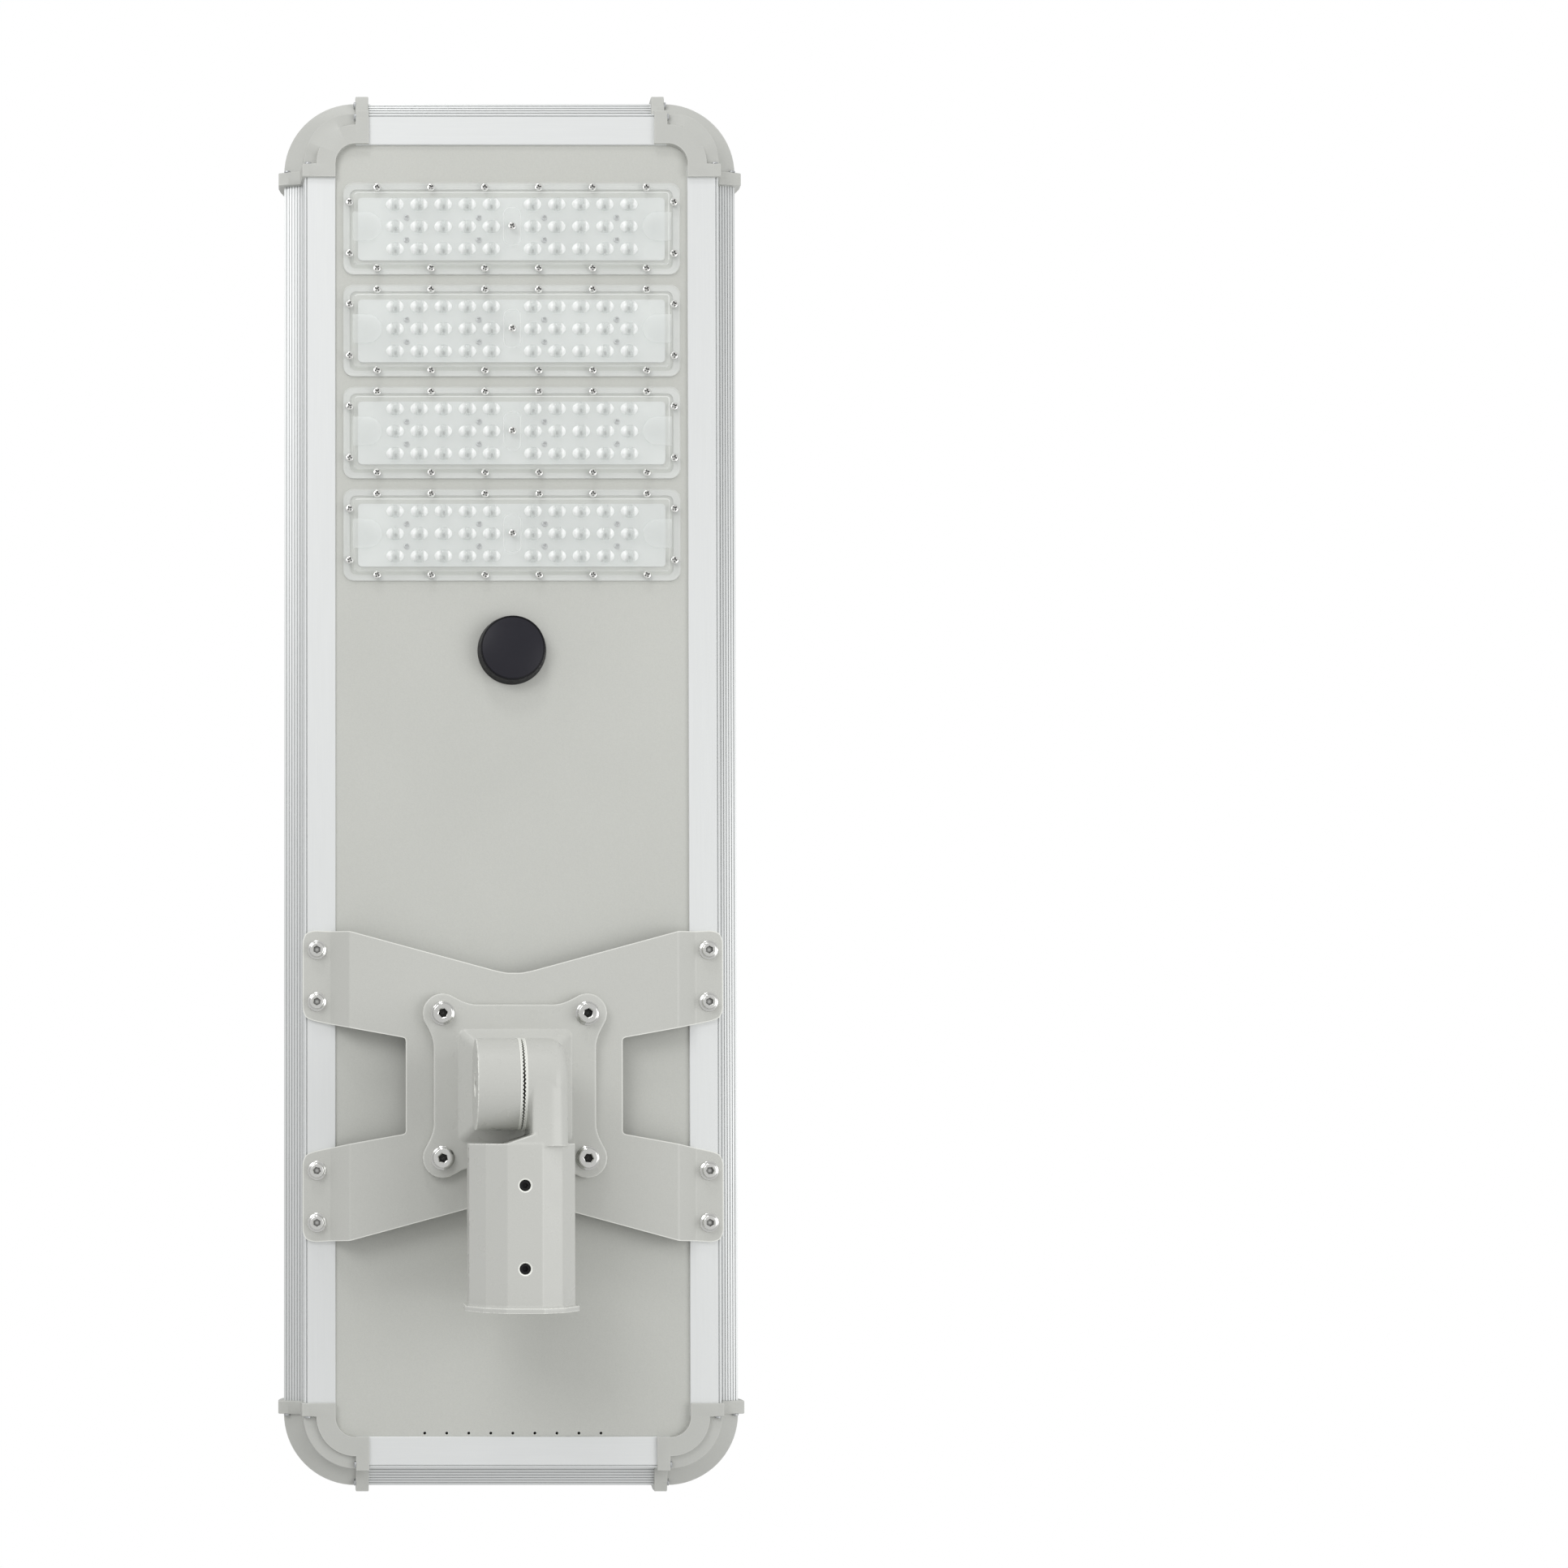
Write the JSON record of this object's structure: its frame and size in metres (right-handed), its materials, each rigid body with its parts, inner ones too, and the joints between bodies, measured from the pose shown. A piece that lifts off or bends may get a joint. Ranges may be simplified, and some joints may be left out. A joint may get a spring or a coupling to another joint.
{
  "type": "solar street lamp",
  "caption": "All-in-one solar street lamp: a flat framed head with a solar panel above, lens-covered LED strips and a motion sensor below, on a toothed tilt bracket with a pole socket.",
  "frame": {"origin": "centre of the flat wall inside the pole socket that the pole's end meets", "axes": "-Y out of the socket along the pole, +Y along the lamp towards its LED end, +Z towards the solar panel"},
  "size_m": [0.371, 1.117, 0.1724],
  "materials": {
    "anodised_rail": "satin",
    "painted_casting": "matte",
    "painted_plate": "matte",
    "painted_sheet": "matte",
    "panel_glass": "gloss",
    "solar_cell": "gloss",
    "white_film": "matte",
    "grey_rubber": "matte",
    "black_plastic": "satin",
    "white_board": "satin",
    "clear_lens": "gloss",
    "battery_wrap": "satin",
    "cast_aluminium": "matte",
    "cable_jacket": "satin",
    "bright_steel": "polished",
    "black_steel": "satin"
  },
  "bodies": {
    "pole_arm": {"tilt_arm": "painted_casting"},
    "lamp_head": {"rail_left": "anodised_rail", "rail_right": "anodised_rail", "rail_front": "anodised_rail", "rail_rear": "anodised_rail", "corner_rear_left": "painted_casting", "corner_rear_right": "painted_casting", "corner_front_right": "painted_casting", "corner_front_left": "painted_casting", "tilt_base": "painted_casting", "solar_glass": "panel_glass", "solar_cells": "solar_cell", "solar_backsheet": "white_film", "panel_seal": "grey_rubber", "lens_gasket_1": "grey_rubber", "lens_gasket_2": "grey_rubber", "lens_gasket_3": "grey_rubber", "lens_gasket_4": "grey_rubber", "junction_box": "black_plastic", "sensor_cap": "black_plastic", "sensor_nut": "black_plastic", "base_plate": "painted_plate", "bracket_plate": "painted_sheet", "led_board_1": "white_board", "led_board_2": "white_board", "led_board_3": "white_board", "led_board_4": "white_board", "sensor_board": "white_board", "lens_cover_1": "clear_lens", "lens_cover_2": "clear_lens", "lens_cover_3": "clear_lens", "lens_cover_4": "clear_lens", "battery_pack_left": "battery_wrap", "battery_pack_right": "battery_wrap", "battery_strap_front": "cast_aluminium", "battery_strap_rear": "cast_aluminium", "charge_controller": "cast_aluminium", "panel_cable": "cable_jacket", "led_cable": "cable_jacket", "sensor_cable": "cable_jacket", "rail_screw_left_1": "bright_steel", "rail_screw_left_2": "bright_steel", "rail_screw_left_3": "bright_steel", "rail_screw_left_4": "bright_steel", "rail_screw_right_1": "bright_steel", "rail_screw_right_2": "bright_steel", "rail_screw_right_3": "bright_steel", "rail_screw_right_4": "bright_steel", "base_screw_front_left": "bright_steel", "base_screw_front_right": "bright_steel", "base_screw_rear_left": "bright_steel", "base_screw_rear_right": "bright_steel", "nut_bar_left": "bright_steel", "nut_bar_right": "bright_steel", "pivot_bolt": "bright_steel", "pivot_washer": "bright_steel", "pivot_nut": "bright_steel"},
    "inner_set_screw": {"set_screw_inner": "black_steel"},
    "outer_set_screw": {"set_screw_outer": "black_steel"}
  },
  "joints": [
    {"name": "head_tilt", "type": "hinge", "parent": "pole_arm", "child": "lamp_head", "pos_m": [0, 0.054, 0], "axis": [-1, 0, 0], "range_deg": [-5, 90]},
    {"name": "inner_screw_travel", "type": "slide", "parent": "pole_arm", "child": "inner_set_screw", "axis": [0, 0, 1], "range_m": [-0.0045, 0.003]},
    {"name": "outer_screw_travel", "type": "slide", "parent": "pole_arm", "child": "outer_set_screw", "axis": [0, 0, 1], "range_m": [-0.0045, 0.003]}
  ]
}
